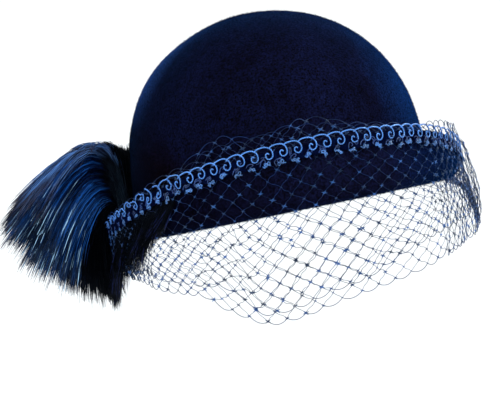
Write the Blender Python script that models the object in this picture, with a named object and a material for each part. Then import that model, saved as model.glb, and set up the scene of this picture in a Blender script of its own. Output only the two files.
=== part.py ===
"""A felt cloche hat: domed crown, turned-up brim, scroll braid, net veil and plume.

Metres, +Z up. The origin is the middle of the head opening, in the plane of the brim's fold.
The wearer faces -Y, so the wearer's left is +X, and the plume is on the wearer's right, at -X.
Angles round the hat are in degrees from the front, and grow towards the wearer's left.
"""

import math
from collections import namedtuple

import bmesh
import bpy
from mathutils import Vector

# Head opening, and the felt and the clearance that every piece shares
HEAD_HALF_WIDTH = 0.081
HEAD_HALF_DEPTH = 0.099
FELT = 0.0025
GAP = 0.0003

# Crown: a dome whose side is nearly upright low down and rounds over evenly
CROWN_HEIGHT = 0.1145
DOME_UPRIGHTNESS = 3.1
DOME_ROUNDNESS = 1.86
CROWN_SIDES = 56
CROWN_RINGS = 9

# Brim: lies flat out from the head opening, turns up round a corner, and stands up
BRIM_HEIGHT = 0.0328
BRIM_FLARE = 0.0175
BRIM_CORNER = 0.0085
BRIM_LEAN = 0.0012
BRIM_SIDES = 64
CORNER_STEPS = 4

BrimRow = namedtuple("BrimRow", "angle height flare")
BRIM_ROWS = (
    BrimRow(0, 1.00, 0.97),
    BrimRow(40, 0.85, 0.94),
    BrimRow(80, 0.43, 0.94),
    BrimRow(120, 0.40, 0.97),
    BrimRow(180, 0.43, 1.00),
)

# Braid: a band round the brim's outer edge, with one rounded peak for each scroll
BRAID_HEIGHT = 0.0095
BRAID_THICK = 0.0016
BRAID_SCROLLS = 96
SCROLL_RISE = 0.0016
SCROLL_STEPS = 2

# Veil: an open net from a heading above the braid down to a hem below the brim
NET_THICK = 0.001
NET_SPAN = 125.0
NET_COLUMNS = 17
NET_ROWS = 3
NET_OPENING_SHARE = 0.86
NET_SAG_ROOM = 0.0007
HEADING_RISE = 0.009
HEM_DROP = 0.052
HEM_SWING = 0.009
HEM_TUCK = 0.007

VeilRow = namedtuple("VeilRow", "angle drop heading swing tuck")
VEIL_ROWS = (
    VeilRow(-125, -0.04, 0.30, 0.10, 0.0),
    VeilRow(-100, 0.12, 0.30, 0.30, 0.0),
    VeilRow(-70, 0.36, 0.40, 0.50, 0.2),
    VeilRow(-40, 0.82, 0.80, 0.30, 0.8),
    VeilRow(-15, 1.00, 1.00, 0.15, 1.0),
    VeilRow(15, 0.87, 1.00, 0.15, 1.0),
    VeilRow(45, 0.70, 0.70, 0.50, 0.5),
    VeilRow(75, 0.40, 0.40, 1.00, 0.0),
    VeilRow(100, 0.12, 0.30, 0.80, 0.0),
    VeilRow(125, -0.04, 0.30, 0.20, 0.0),
)

# Plume: a bound head in the trough of the brim, and locks that arch out of it and fall
PLUME_ANGLE = -93.0
PLUME_HEAD_LENGTH = 0.034
PLUME_NECK_CLEARANCE = 0.006
PLUME_REACH = 0.070
PLUME_SPREAD = 0.060
PLUME_RISE = 0.041
PLUME_FALL = 0.052
PLUME_BRAID_GAP = 0.003
SIDE_LIFT = 0.45
LOCK_HALF_WIDTH = 0.0095
LOCK_HALF_THICK = 0.005
LOCK_SIDES = 6
LOCK_STEPS = 6

# Shares of the plume's reach, rise and fall, and how its locks fan from behind to in front
PlumeTier = namedtuple("PlumeTier", "reach rise fall behind front locks")
PLUME_TIERS = (
    PlumeTier(1.00, 1.00, 0.14, -74, 54, 8),
    PlumeTier(0.82, 0.92, 0.46, -77, 42, 8),
    PlumeTier(0.60, 0.74, 0.76, -80, 28, 7),
    PlumeTier(0.38, 0.50, 1.00, -84, 12, 6),
)

# Width of a lock along it, from root to tip
LockRow = namedtuple("LockRow", "along width")
LOCK_ROWS = (
    LockRow(0.0, 0.50),
    LockRow(0.3, 0.86),
    LockRow(0.7, 1.00),
    LockRow(1.0, 0.55),
)


def between(rows, at, column):
    """The column's value at a place along the first column, on a smooth curve through the rows."""
    places = [row[0] for row in rows]
    values = [getattr(row, column) for row in rows]
    at = min(max(at, places[0]), places[-1])
    index = max(i for i in range(len(rows) - 1) if places[i] <= at)

    def slope(i):
        low, high = max(i - 1, 0), min(i + 1, len(rows) - 1)
        if low == i or high == i:
            return 0.0
        return (values[high] - values[low]) / (places[high] - places[low])

    span = places[index + 1] - places[index]
    t = (at - places[index]) / span
    return (
        (2 * t**3 - 3 * t**2 + 1) * values[index]
        + (t**3 - 2 * t**2 + t) * span * slope(index)
        + (3 * t**2 - 2 * t**3) * values[index + 1]
        + (t**3 - t**2) * span * slope(index + 1)
    )


def round_hat(angle, outward, z):
    """The point at an angle round the hat, this far out from the head opening's edge, at height z."""
    a = math.radians(angle)
    edge = Vector((HEAD_HALF_WIDTH * math.sin(a), -HEAD_HALF_DEPTH * math.cos(a), z))
    return edge + outward * outward_at(angle)


def outward_at(angle):
    """The level direction straight out from the head opening's edge at an angle."""
    a = math.radians(angle)
    return Vector((math.sin(a) / HEAD_HALF_WIDTH, -math.cos(a) / HEAD_HALF_DEPTH, 0)).normalized()


def brim_height(angle):
    return BRIM_HEIGHT * between(BRIM_ROWS, abs(angle), "height")


def brim_flare(angle):
    return FELT + BRIM_FLARE * between(BRIM_ROWS, abs(angle), "flare")


def brim_face(angle, z):
    """How far out the brim's outer face stands at a height on its upright part."""
    up = max(0.0, z - BRIM_CORNER) / (BRIM_HEIGHT - BRIM_CORNER)
    return brim_flare(angle) - BRIM_LEAN * up


def net_cover(angle):
    """1 where the net lies between brim and braid, falling smoothly to 0 behind its ends."""
    t = min(max((NET_SPAN + 12 - abs(angle)) / 10, 0.0), 1.0)
    return t * t * (3 - 2 * t)


def turn(count):
    """Angles of count even steps all the way round, from -180."""
    return [-180 + 360 * i / count for i in range(count)]


def material(name, colour, roughness):
    made = bpy.data.materials.new(name)
    made.use_nodes = True
    shader = made.node_tree.nodes["Principled BSDF"]
    shader.inputs["Base Color"].default_value = (*colour, 1)
    shader.inputs["Roughness"].default_value = roughness
    shader.inputs["Metallic"].default_value = 0.0
    return made


def finished(name, shell, finish, smooth_angle=40):
    """Turns a bmesh into a named object with its own material and its normals facing out."""
    bmesh.ops.recalc_face_normals(shell, faces=shell.faces)
    mesh = bpy.data.meshes.new(name)
    shell.to_mesh(mesh)
    shell.free()
    mesh.shade_smooth()
    mesh.set_sharp_from_angle(angle=math.radians(smooth_angle))
    mesh.materials.append(finish)
    made = bpy.data.objects.new(name, mesh)
    bpy.context.scene.collection.objects.link(made)
    return made


def bridged(shell, first, second):
    """Quads between two closed rings of as many vertices."""
    for i in range(len(first)):
        j = (i + 1) % len(first)
        shell.faces.new((first[i], first[j], second[j], second[i]))


def lofted(shell, rings):
    """Adds rings of points joined one to the next, and returns their vertices."""
    rows = [[shell.verts.new(point) for point in ring] for ring in rings]
    for first, second in zip(rows, rows[1:]):
        bridged(shell, first, second)
    return rows


def dome_ring(half_width, half_depth, height, rise):
    """One level ring of a dome, at a quarter-turn angle from 0 at its foot to 90 at its top."""
    up = math.sin(math.radians(rise)) ** (2 / DOME_UPRIGHTNESS)
    share = math.cos(math.radians(rise)) ** (2 / DOME_ROUNDNESS)
    z = max(height * up, FELT + GAP)
    return [
        Vector((half_width * share * math.sin(a), -half_depth * share * math.cos(a), z))
        for a in map(math.radians, turn(CROWN_SIDES))
    ]


def make_crown(finish):
    """The domed crown: one felt wall, open at its foot, which stands on the brim's inner edge."""
    steps = [90 * i / CROWN_RINGS for i in range(CROWN_RINGS)]
    inside = (HEAD_HALF_WIDTH, HEAD_HALF_DEPTH, CROWN_HEIGHT - FELT)
    outside = (HEAD_HALF_WIDTH + FELT, HEAD_HALF_DEPTH + FELT, CROWN_HEIGHT)
    rings = [dome_ring(*inside, rise) for rise in reversed(steps)]
    rings += [dome_ring(*outside, rise) for rise in steps]
    shell = bmesh.new()
    rows = lofted(shell, rings)
    for row, top in ((rows[0], inside[2]), (rows[-1], outside[2])):
        peak = shell.verts.new((0, 0, top))
        for i in range(CROWN_SIDES):
            shell.faces.new((row[i], row[(i + 1) % CROWN_SIDES], peak))
    return finished("crown", shell, finish)


def brim_section(angle):
    """The brim's section, as pairs of how far out and how high, once round its edge."""
    flare, height = brim_flare(angle), brim_height(angle)
    turns = [math.radians(90 * i / CORNER_STEPS) for i in range(CORNER_STEPS + 1)]
    middle = flare - BRIM_CORNER
    outer = [(middle + BRIM_CORNER * math.sin(t), BRIM_CORNER * (1 - math.cos(t))) for t in turns]
    bend = BRIM_CORNER - FELT
    inner = [(middle + bend * math.sin(t), BRIM_CORNER - bend * math.cos(t)) for t in turns]
    lip = brim_face(angle, height)
    top = [(lip, height - FELT / 3), (lip - FELT / 3, height)]
    top += [(lip - FELT * 2 / 3, height), (lip - FELT, height - FELT / 3)]
    return [(0.0, 0.0), *outer, *top, *reversed(inner), (0.0, FELT)]


def make_brim(finish):
    """The brim: one felt ring, flat under the crown's foot and turned up all the way round."""
    shell = bmesh.new()
    rings = [[round_hat(a, *at) for at in brim_section(a)] for a in turn(BRIM_SIDES)]
    rows = lofted(shell, rings)
    bridged(shell, rows[-1], rows[0])
    return finished("brim", shell, finish)


def braid_foot(angle):
    """How far out the braid's inner face stands: over the net in front, on the felt behind."""
    over_net = NET_SAG_ROOM + NET_THICK + GAP
    return brim_flare(angle) + GAP + net_cover(angle) * over_net


def make_braid(finish):
    """The braid: a band along the brim's edge whose upper edge peaks at every scroll."""
    shell = bmesh.new()
    rings = []
    count = BRAID_SCROLLS * SCROLL_STEPS
    for i, angle in enumerate(turn(count)):
        peak = math.sin(math.pi * (i % SCROLL_STEPS) / SCROLL_STEPS)
        top = brim_height(angle) + SCROLL_RISE * peak
        foot = brim_height(angle) - BRAID_HEIGHT + SCROLL_RISE
        inner = braid_foot(angle)
        outer = inner + BRAID_THICK
        corners = ((inner, foot), (outer, foot), (outer, top), (inner, top))
        rings.append([round_hat(angle, *corner) for corner in corners])
    rows = lofted(shell, rings)
    bridged(shell, rows[-1], rows[0])
    return finished("braid", shell, finish)


def net_point(across, down):
    """A point of the net's middle surface: across runs 0 to 1 from right to left, down 0 to 1."""
    angle = NET_SPAN * (2 * across - 1)
    row = {name: between(VEIL_ROWS, angle, name) for name in VeilRow._fields[1:]}
    top = brim_height(angle) + HEADING_RISE * row["heading"]
    hem = -HEM_DROP * row["drop"]
    z = top + (hem - top) * down
    leaves = brim_height(angle) - BRAID_HEIGHT
    loose = min(max((leaves - z) / (leaves + HEM_DROP), 0.0), 1.0)
    below = max(0.0, -z / HEM_DROP)
    out = brim_flare(angle) + GAP + NET_SAG_ROOM + NET_THICK / 2
    out += HEM_SWING * row["swing"] * math.sin(loose * math.pi / 2) - HEM_TUCK * row["tuck"] * below**1.5
    return round_hat(angle, out, z)


def net_cells():
    """The corners of every cell of the net, whole diamonds inside and halves along its edges."""
    columns, rows = 2 * NET_COLUMNS, 2 * NET_ROWS
    for i in range(columns + 1):
        for j in range(rows + 1):
            if (i + j) % 2 == 0:
                continue
            around = ((i - 1, j), (i, j + 1), (i + 1, j), (i, j - 1))
            kept = [(a, b) for a, b in around if 0 <= a <= columns and 0 <= b <= rows]
            if len(kept) >= 3:
                yield [(a / columns, b / rows) for a, b in kept]


def make_veil(finish):
    """The veil: flat threads between open diamonds, with a straight selvedge round them."""
    shell = bmesh.new()
    knots = {}

    def knot(at):
        if at not in knots:
            knots[at] = shell.verts.new(net_point(*at))
        return knots[at]

    for cell in net_cells():
        corners = [knot(at) for at in cell]
        middle = sum((corner.co for corner in corners), Vector()) / len(corners)
        opening = [shell.verts.new(middle.lerp(c.co, NET_OPENING_SHARE)) for c in corners]
        bridged(shell, corners, opening)
    made = finished("veil", shell, finish)
    thicken = made.modifiers.new("thread", "SOLIDIFY")
    thicken.thickness = NET_THICK
    thicken.offset = 0.0
    thicken.use_even_offset = True
    return made


def trough_middle():
    """How far out the middle of the brim's trough lies under the plume."""
    return brim_face(PLUME_ANGLE, brim_height(PLUME_ANGLE)) / 2


def plume_frame():
    """The middle of the brim's trough under the plume, and the ways out from it and along it."""
    out = outward_at(PLUME_ANGLE)
    along = Vector((0, 0, 1)).cross(out)
    return round_hat(PLUME_ANGLE, trough_middle(), 0), out, along


def plume_neck_top():
    """The height at which the locks leave the neck, clear of the brim's edge and the net's heading."""
    heading = HEADING_RISE * between(VEIL_ROWS, PLUME_ANGLE, "heading")
    return brim_height(PLUME_ANGLE) + heading + PLUME_NECK_CLEARANCE


def plume_head_half_width():
    """Half the width of the trough that the head fills, less its clearance on both sides."""
    return (brim_face(PLUME_ANGLE, brim_height(PLUME_ANGLE)) - 2 * FELT) / 2 - 2 * GAP


def plume_core():
    """The head: an upright oval block that rests on the brim and narrows to a bound neck."""
    middle, out, along = plume_frame()
    half_width = plume_head_half_width()
    half_length = PLUME_HEAD_LENGTH / 2
    top = plume_neck_top()
    seat = FELT + GAP
    levels = ((seat, 0.35), (seat + (top - seat) * 0.25, 0.92), (top, 0.86), (top + LOCK_HALF_THICK, 0.5))
    rings = []
    for z, share in levels:
        ring = []
        for step in range(12):
            a = math.tau * step / 12
            across = out * (half_width * share * math.cos(a))
            ring.append(middle + across + along * (half_length * share * math.sin(a)) + Vector((0, 0, z)))
        rings.append(ring)
    shell = bmesh.new()
    rows = lofted(shell, rings)
    shell.faces.new(rows[0])
    shell.faces.new(rows[-1])
    return shell


def lock_spread(tier, fan, share):
    """How far out and how far round the hat a lock has gone, at a share of its way to its tip."""
    f = math.radians(fan)
    reach = PLUME_REACH * tier.reach
    clear = braid_foot(PLUME_ANGLE) + BRAID_THICK + PLUME_BRAID_GAP + LOCK_HALF_THICK - trough_middle()
    out = trough_middle() + share * (clear + (reach - clear) * math.cos(f))
    along = math.sin(f) * (PLUME_HEAD_LENGTH * 0.3 + share * PLUME_SPREAD)
    return out, PLUME_ANGLE + math.degrees(along / HEAD_HALF_DEPTH)


def lock_centre(tier, fan, along_lock):
    """A point on a lock's middle line, which rises from the neck, arches over and falls."""
    start, rise = plume_neck_top(), PLUME_RISE * tier.rise
    fall = PLUME_FALL * tier.fall * (1 - SIDE_LIFT * abs(math.sin(math.radians(fan))))
    curve = ((0, start), (0.10, start + 1.30 * rise), (0.80, start + 1.15 * rise), (1, start - fall))
    s = along_lock
    weights = ((1 - s) ** 3, 3 * s * (1 - s) ** 2, 3 * s**2 * (1 - s), s**3)
    share = sum(w * p[0] for w, p in zip(weights, curve))
    height = sum(w * p[1] for w, p in zip(weights, curve))
    out, angle = lock_spread(tier, fan, share)
    return round_hat(angle, out, height)


def plume_lock(tier, fan):
    """One flattened lock, tapered at its root and its tip."""
    side = (lock_centre(tier, fan + 2, 1) - lock_centre(tier, fan - 2, 1)).normalized()
    rings = []
    for step in range(LOCK_STEPS + 1):
        s = step / LOCK_STEPS
        centre = lock_centre(tier, fan, s)
        ahead = lock_centre(tier, fan, s + 0.01) - lock_centre(tier, fan, s - 0.01)
        normal = side.cross(ahead).normalized()
        share = between(LOCK_ROWS, s, "width")
        ring = []
        for k in range(LOCK_SIDES):
            a = math.tau * k / LOCK_SIDES
            across = side * (LOCK_HALF_WIDTH * share * math.cos(a))
            ring.append(centre + across + normal * (LOCK_HALF_THICK * share * math.sin(a)))
        rings.append(ring)
    shell = bmesh.new()
    rows = lofted(shell, rings)
    shell.faces.new(rows[0])
    shell.faces.new(rows[-1])
    return shell


def make_plume(finish):
    """The plume: every lock joined to the head in one body."""
    plume = finished("plume", plume_core(), finish)
    locks = bpy.data.collections.new("plume_locks")
    bpy.context.scene.collection.children.link(locks)
    locks.hide_render = True
    for tier_index, tier in enumerate(PLUME_TIERS):
        for i in range(tier.locks):
            fan = tier.behind + (tier.front - tier.behind) * i / (tier.locks - 1)
            lock = finished(f"lock_{tier_index}_{i}", plume_lock(tier, fan), finish)
            bpy.context.scene.collection.objects.unlink(lock)
            locks.objects.link(lock)
            lock.hide_render = True
            lock.display_type = "WIRE"
    join = plume.modifiers.new("locks", "BOOLEAN")
    join.operation = "UNION"
    join.operand_type = "COLLECTION"
    join.collection = locks
    join.solver = "EXACT"
    return plume


def main():
    for old in list(bpy.data.objects):
        bpy.data.objects.remove(old)
    felt = material("navy_velour_felt", (0.006, 0.010, 0.036), 0.95)
    cord = material("navy_rayon_cord", (0.020, 0.055, 0.230), 0.45)
    net = material("navy_net_thread", (0.018, 0.036, 0.150), 0.55)
    fibre = material("navy_plume_fibre", (0.008, 0.024, 0.095), 0.35)
    make_crown(felt)
    make_brim(felt.copy())
    make_braid(cord)
    make_veil(net)
    make_plume(fibre)


main()
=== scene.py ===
"""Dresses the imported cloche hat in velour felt, scroll braid, knotted net and a fibre plume.

Metres, +Z up, the wearer facing -Y. Angles round the hat are in degrees from the front, and grow
towards the wearer's left. "Out" is the level distance from the edge of the head opening.
"""

from __future__ import annotations

import logging
import math
from dataclasses import dataclass
from enum import Enum
from typing import Any, Sequence

import bmesh
import bpy
import numpy as np
from mathutils import Matrix, Vector


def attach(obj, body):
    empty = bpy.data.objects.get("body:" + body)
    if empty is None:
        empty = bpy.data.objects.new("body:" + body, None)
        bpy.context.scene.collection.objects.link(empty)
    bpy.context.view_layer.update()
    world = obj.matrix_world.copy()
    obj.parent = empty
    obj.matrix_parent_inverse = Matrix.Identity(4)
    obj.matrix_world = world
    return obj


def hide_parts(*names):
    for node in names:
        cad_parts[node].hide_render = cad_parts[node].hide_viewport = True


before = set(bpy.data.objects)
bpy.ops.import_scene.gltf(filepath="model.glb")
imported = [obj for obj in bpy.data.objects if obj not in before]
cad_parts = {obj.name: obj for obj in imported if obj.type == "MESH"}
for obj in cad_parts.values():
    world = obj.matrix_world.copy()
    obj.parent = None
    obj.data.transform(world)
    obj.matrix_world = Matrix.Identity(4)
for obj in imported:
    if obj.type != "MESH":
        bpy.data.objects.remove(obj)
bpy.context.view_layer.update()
LOG = logging.getLogger("cloche_hat")
MM = 0.001
FULL_TURN = 2 * math.pi

Triple = tuple[float, float, float]
Colour = Triple
Array = np.ndarray
Piece = bpy.types.Object
Finish = bpy.types.Material
BLACK: Colour = (0.0, 0.0, 0.0)
WHITE: Colour = (1.0, 1.0, 1.0)
UPWARD = np.array([0.0, 0.0, 1.0])
TINY = 1e-12


class LoftEnd(Enum):
    """How a lofted wall is closed."""

    POLES = "fill both end rings"
    RING = "bridge the last ring to the first"


class NetLayer(Enum):
    """The layers of the veil."""

    OVER = "veil_over"
    UNDER = "veil_under"
    PUFF = "veil_puff"

    @property
    def parity(self) -> int:
        """Which half columns have knots in an even half row: 0 for even ones, 1 for odd ones."""
        return int(self is NetLayer.UNDER)


@dataclass(frozen=True)
class Line:
    """A smooth curve through values at places, such as a height at angles round the hat."""

    places: tuple[float, ...]
    values: tuple[float, ...]

    def at(self, place: Array | float) -> Array:
        """Reads the curve.

        Args:
            place: where to read it, one number or many.

        Returns:
            The values there.
        """
        places, values = np.array(self.places, float), np.array(self.values, float)
        place = np.clip(np.asarray(place, float), places[0], places[-1])
        slopes = np.zeros_like(values)
        slopes[1:-1] = (values[2:] - values[:-2]) / (places[2:] - places[:-2])
        index = np.clip(np.searchsorted(places, place, side="right") - 1, 0, len(places) - 2)
        span = places[index + 1] - places[index]
        t = (place - places[index]) / span
        return (
            (2 * t**3 - 3 * t**2 + 1) * values[index]
            + (t**3 - 2 * t**2 + t) * span * slopes[index]
            + (3 * t**2 - 2 * t**3) * values[index + 1]
            + (t**3 - t**2) * span * slopes[index + 1]
        )


@dataclass(frozen=True)
class HatShape:
    """The sizes that every piece shares, as the solids have them."""

    half_width: float = 0.081
    half_depth: float = 0.099
    felt: float = 0.0025
    gap: float = 0.0003
    crown_height: float = 0.1145
    uprightness: float = 3.1
    roundness: float = 1.86
    brim_height: float = 0.0328
    brim_flare: float = 0.0175
    brim_corner: float = 0.0085
    brim_lean: float = 0.0012
    braid_height: float = 0.0095
    scroll_rise: float = 0.0016
    heights: Line = Line((0, 40, 80, 120, 180), (1.00, 0.85, 0.43, 0.40, 0.43))
    flares: Line = Line((0, 40, 80, 120, 180), (0.97, 0.94, 0.94, 0.97, 1.00))

    def outward(self, angle: Array) -> Array:
        """The level unit vector straight out from the head opening's edge at each angle."""
        a = np.radians(angle)
        return unit(np.stack([np.sin(a) / self.half_width, -np.cos(a) / self.half_depth, 0 * a], -1))

    def point(self, angle: Array | float, out: Array | float, z: Array | float) -> Array:
        """Places points round the hat.

        Args:
            angle: degrees from the front.
            out: distance out from the head opening's edge.
            z: height.

        Returns:
            Points, with the last axis as x, y and z.
        """
        angle, out, z = np.broadcast_arrays(*(np.asarray(v, float) for v in (angle, out, z)))
        a = np.radians(angle)
        edge = np.stack([self.half_width * np.sin(a), -self.half_depth * np.cos(a), z], -1)
        return edge + self.outward(angle) * out[..., None]

    def height(self, angle: Array | float) -> Array:
        """The height of the brim's edge."""
        return self.brim_height * self.heights.at(np.abs(angle))

    def flare(self, angle: Array | float) -> Array:
        """How far out the brim's outer face stands at its corner."""
        return self.felt + self.brim_flare * self.flares.at(np.abs(angle))

    def face(self, angle: Array | float, z: Array | float) -> Array:
        """How far out the brim's outer face stands at a height on its upright part."""
        up = np.maximum(0.0, np.asarray(z) - self.brim_corner) / (self.brim_height - self.brim_corner)
        return self.flare(angle) - self.brim_lean * up

    def trough(self, angle: float) -> float:
        """How far out the middle of the trough between crown and brim lies."""
        return float(self.face(angle, self.height(angle))) / 2


SHAPE = HatShape()


def unit(ways: Array, least: float = 0.0) -> Array:
    """Directions made one long, with the least length added so that none is divided by nothing."""
    return ways / (np.linalg.norm(ways, axis=-1, keepdims=True) + least)


def wander(points: Array, scale: float, seed: int) -> Array:
    """A smooth, repeatable unevenness between about -1 and 1 at each point.

    Args:
        points: places, last axis x, y, z.
        scale: the length over which it changes, in metres.
        seed: which unevenness.

    Returns:
        One number a point.
    """
    waves, closeness, strength = 7, 2.2, 1.8
    draw = np.random.default_rng(seed)
    ways = draw.normal(size=(waves, 3)) / scale
    phases = draw.uniform(0, FULL_TURN, waves)
    heights = np.sin(np.tensordot(points, ways, axes=([-1], [1])) * closeness + phases)
    return heights.mean(axis=-1) * strength


def nothing_selected() -> None:
    """Leaves edit mode and deselects every object."""
    if bpy.context.object and bpy.context.object.mode != "OBJECT":
        bpy.ops.object.mode_set(mode="OBJECT")
    bpy.ops.object.select_all(action="DESELECT")


def loft(name: str, rings: Array, end: LoftEnd) -> Piece:
    """Extrudes a circle ring by ring along given rings of points.

    Args:
        name: the piece's name.
        rings: points, shape (rings, around, 3).
        end: how the wall is closed.

    Returns:
        The finished object.
    """
    nothing_selected()
    around = rings.shape[1]
    bpy.ops.mesh.primitive_circle_add(vertices=around, radius=1.0, fill_type="NOTHING")
    made = bpy.context.object
    made.name = made.data.name = name
    turn = np.linspace(0, FULL_TURN, around, endpoint=False)
    before = np.stack([np.sin(turn), np.cos(turn), 0 * turn], -1)
    bpy.ops.object.mode_set(mode="EDIT")
    bpy.ops.mesh.select_all(action="SELECT")
    for index, ring in enumerate(rings):
        if index:
            bpy.ops.mesh.extrude_edges_move()
        shell = bmesh.from_edit_mesh(made.data)
        for vert in (v for v in shell.verts if v.select):
            nearest = int(np.argmin(((before - np.array(vert.co)) ** 2).sum(axis=1)))
            vert.co = ring[nearest]
        bmesh.update_edit_mesh(made.data)
        before = ring
    bpy.ops.mesh.select_all(action="DESELECT")
    bpy.ops.mesh.select_mode(type="EDGE")
    bpy.ops.mesh.select_non_manifold(use_wire=False, use_multi_face=False, use_verts=False)
    if end is LoftEnd.RING:
        bpy.ops.mesh.bridge_edge_loops()
    else:
        bpy.ops.mesh.fill_holes(sides=0)
    bpy.ops.mesh.select_all(action="SELECT")
    bpy.ops.mesh.normals_make_consistent(inside=False)
    bpy.ops.object.mode_set(mode="OBJECT")
    bpy.ops.object.shade_smooth_by_angle(angle=math.radians(50))
    return made


def scattered(rings: Array, count: int, seed: int) -> tuple[Array, Array]:
    """Draws places at random on a lofted wall, as many on each patch as its area asks.

    Args:
        rings: points of the wall, shape (rings, around, 3).
        count: how many places.
        seed: which draw.

    Returns:
        The places, and the directions straight out of the wall there.
    """
    draw = np.random.default_rng(seed)
    corner = rings[:-1]
    along = rings[1:] - corner
    across = np.roll(corner, -1, axis=1) - corner
    normal = np.cross(across, along)
    area = np.linalg.norm(normal, axis=-1)
    pick = draw.choice(area.size, count, p=(area / area.sum()).ravel())
    ring, column = np.unravel_index(pick, area.shape)
    u, v = draw.uniform(0, 1, (2, count, 1))
    places = corner[ring, column] + along[ring, column] * u + across[ring, column] * v
    return places, normal[ring, column] / (area[ring, column, None] + 1e-15)


def solid(name: str, points: Array, faces: list[list[int]]) -> Piece:
    """Makes a smoothly shaded object and links it to the scene.

    Args:
        name: the piece's name.
        points: its points, shape (points, 3).
        faces: the points of each face, by number.

    Returns:
        The object.
    """
    mesh = bpy.data.meshes.new(name)
    mesh.from_pydata(points.tolist(), [], faces)
    mesh.shade_smooth()
    made = bpy.data.objects.new(name, mesh)
    bpy.context.scene.collection.objects.link(made)
    return made


def strands(
    name: str,
    paths: Array,
    radii: Array | float,
    facing: Array,
    sides: int = 4,
    tone: Array | None = None,
) -> Piece:
    """Makes one closed mesh of many round strands.

    Args:
        name: the piece's name.
        paths: the points that each strand follows, shape (strands, points, 3).
        radii: radius, one number or shape (strands, points).
        facing: a direction across each strand, broadcast to the shape of paths.
        sides: sides of a strand's section.
        tone: one number a strand, kept as the attribute "tone" for the finish.

    Returns:
        The finished object, with a UV map that runs round and along each strand.
    """
    count, steps = paths.shape[:2]
    radii = np.broadcast_to(np.asarray(radii, float), (count, steps))
    facing = np.broadcast_to(facing, paths.shape)
    ahead = unit(np.gradient(paths, axis=1), TINY)
    side = unit(np.cross(ahead, facing), TINY)
    up = np.cross(side, ahead)
    turn = np.arange(sides) / sides * FULL_TURN
    ring = np.cos(turn)[:, None] * side[:, :, None, :] + np.sin(turn)[:, None] * up[:, :, None, :]
    points = (paths[:, :, None, :] + radii[:, :, None, None] * ring).reshape(-1, 3)

    first = (np.arange(count)[:, None, None] * steps + np.arange(steps - 1)[None, :, None]) * sides
    k = np.arange(sides)[None, None, :]
    n = (k + 1) % sides
    quads = np.stack([first + k, first + sides + k, first + sides + n, first + n], -1).reshape(-1, 4)
    starts = (np.arange(count)[:, None] * steps) * sides + np.arange(sides)[None, :]
    ends = starts[:, ::-1] + (steps - 1) * sides
    made = solid(name, points, quads.tolist() + starts.tolist() + ends.tolist())

    run = np.cumsum(np.linalg.norm(np.diff(paths, axis=1, prepend=paths[:, :1]), axis=-1), axis=1)
    low, high = run[:, :-1, None] + 0 * k, run[:, 1:, None] + 0 * k
    k_full = np.broadcast_to(k, low.shape) / sides
    across = np.stack([k_full, k_full, k_full + 1 / sides, k_full + 1 / sides], -1)
    along = np.stack([low, high, high, low], -1)
    uv = np.stack([across, along * 100], -1).reshape(-1, 2)
    caps = np.zeros((2 * count * sides, 2))
    layer = made.data.uv_layers.new(name="UVMap")
    layer.data.foreach_set("uv", np.concatenate([uv, caps]).ravel())
    marks = {} if tone is None else {"tone": np.repeat(tone, steps * sides)}
    marks["along"] = np.tile(np.repeat(np.linspace(0, 1, steps), sides), count)
    for mark, values in marks.items():
        kept = made.data.attributes.new(mark, "FLOAT", "POINT")
        kept.data.foreach_set("value", values.astype(np.float32))
    return made


def nap(name: str, roots: Array, normals: Array, brushed: Array, seed: int) -> Piece:
    """Makes one mesh of many short, leaning hairs, each a closed spike.

    Args:
        name: the piece's name.
        roots: where the hairs stand, shape (hairs, 3).
        normals: straight out of the felt there.
        brushed: which way the hairs lean.
        seed: seed of their small differences.

    Returns:
        The finished object.
    """
    sunk, radius = 0.10, 0.085
    draw = np.random.default_rng(seed)
    count = len(roots)
    lean = brushed + draw.normal(0, 0.55, (count, 3))
    ahead = unit(normals * draw.uniform(0.55, 1.0, (count, 1)) + lean)
    side = unit(np.cross(ahead, normals + 0.01), TINY)
    up = np.cross(side, ahead)
    length = draw.uniform(0.5, 1.25, (count, 1)) * MM
    turns = np.arange(3) / 3 * FULL_TURN
    ring = np.cos(turns)[None, :, None] * side[:, None] + np.sin(turns)[None, :, None] * up[:, None]
    base = (roots - normals * sunk * MM)[:, None] + ring * radius * MM
    points = np.concatenate([base, (roots + ahead * length)[:, None]], axis=1).reshape(-1, 3)
    first = np.arange(count)[:, None] * 4
    faces = np.concatenate([first + np.array(f) for f in ((0, 1, 3), (1, 2, 3), (2, 0, 3), (2, 1, 0))])
    return solid(name, points, faces.tolist())


def joined(name: str, parts: Sequence[Piece]) -> Piece:
    """Joins objects into one piece.

    Args:
        name: the piece's name.
        parts: the objects.

    Returns:
        The piece.
    """
    nothing_selected()
    for part in parts:
        part.select_set(True)
    bpy.context.view_layer.objects.active = parts[0]
    bpy.ops.object.join()
    parts[0].name = parts[0].data.name = name
    nothing_selected()
    return parts[0]


def by_clump(draw: np.random.Generator, low: float, high: float, clumps: int, each: int) -> Array:
    """One random number between low and high for each clump, repeated for each of its fibres."""
    return np.repeat(draw.uniform(low, high, clumps), each)


def shaken(paths: Array, start: Array, end: Array, share: Array) -> Array:
    """Paths moved by what moves their two ends, by share of the way along them."""
    return paths + start[:, None] * (1 - share)[:, None] + end[:, None] * share[:, None]


def dressed(piece: Piece, finish: Finish, slot: str, *nodes: str) -> None:
    """Gives a piece its finish and its body, and hides the nodes that it stands for.

    Args:
        piece: the piece.
        finish: its material.
        slot: not used.
        nodes: the names of the nodes that it replaces.
    """
    piece.data.materials.clear()
    piece.data.materials.append(finish)
    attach(piece, "root")
    if nodes:
        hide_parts(*nodes)
    LOG.info("%s: %d faces, finish %s", piece.name, len(piece.data.polygons), finish.name)


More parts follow.
